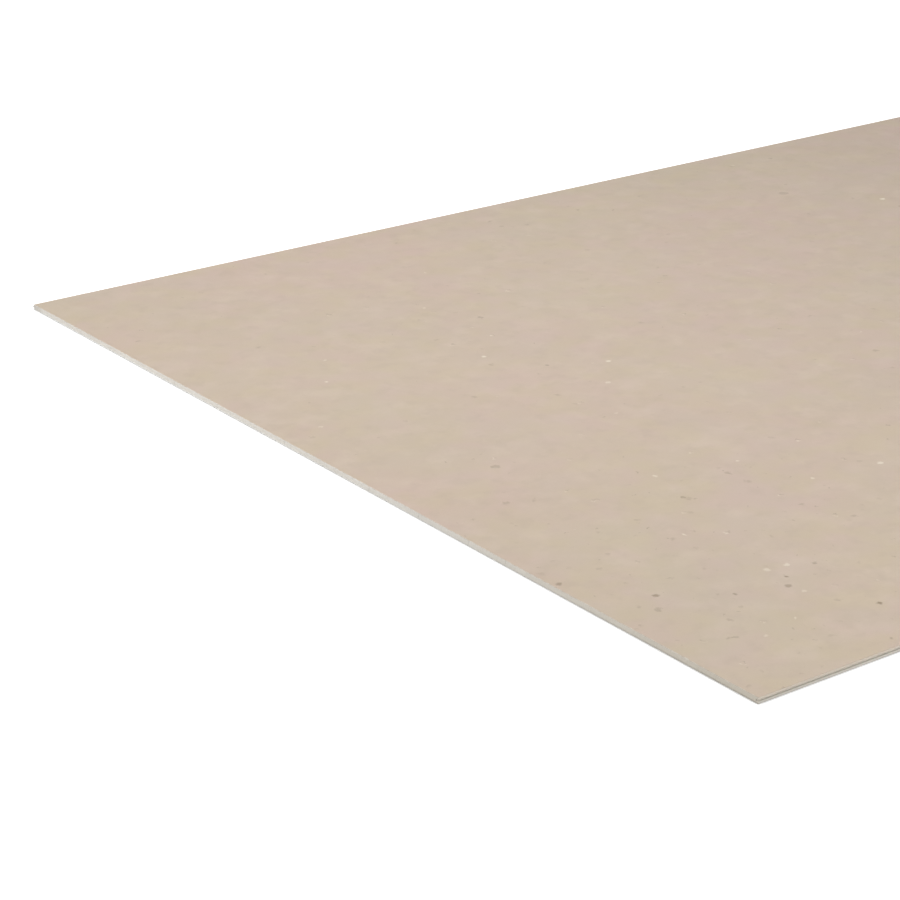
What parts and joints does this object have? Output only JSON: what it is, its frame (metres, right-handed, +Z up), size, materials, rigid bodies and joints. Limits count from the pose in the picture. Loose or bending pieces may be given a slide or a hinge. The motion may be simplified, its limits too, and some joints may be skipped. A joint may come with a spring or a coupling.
{
  "type": "wall panel",
  "caption": "Thin flat rectangular plastic wall panel with a printed stone-look face and a tongue and groove along its long edges, for cladding a wall.",
  "frame": {"origin": "below the middle of the panel, on the floor that its back lies on", "axes": "+X along the panel, +Y across it from the groove to the tongue, +Z up out of the printed face"},
  "size_m": [2.6, 0.902, 0.0045],
  "materials": {
    "printed_plastic": "matte beige stone print on the face, pale bare plastic on the edges and the back"
  },
  "bodies": {
    "root": {"wall_panel": "printed_plastic"}
  },
  "joints": []
}
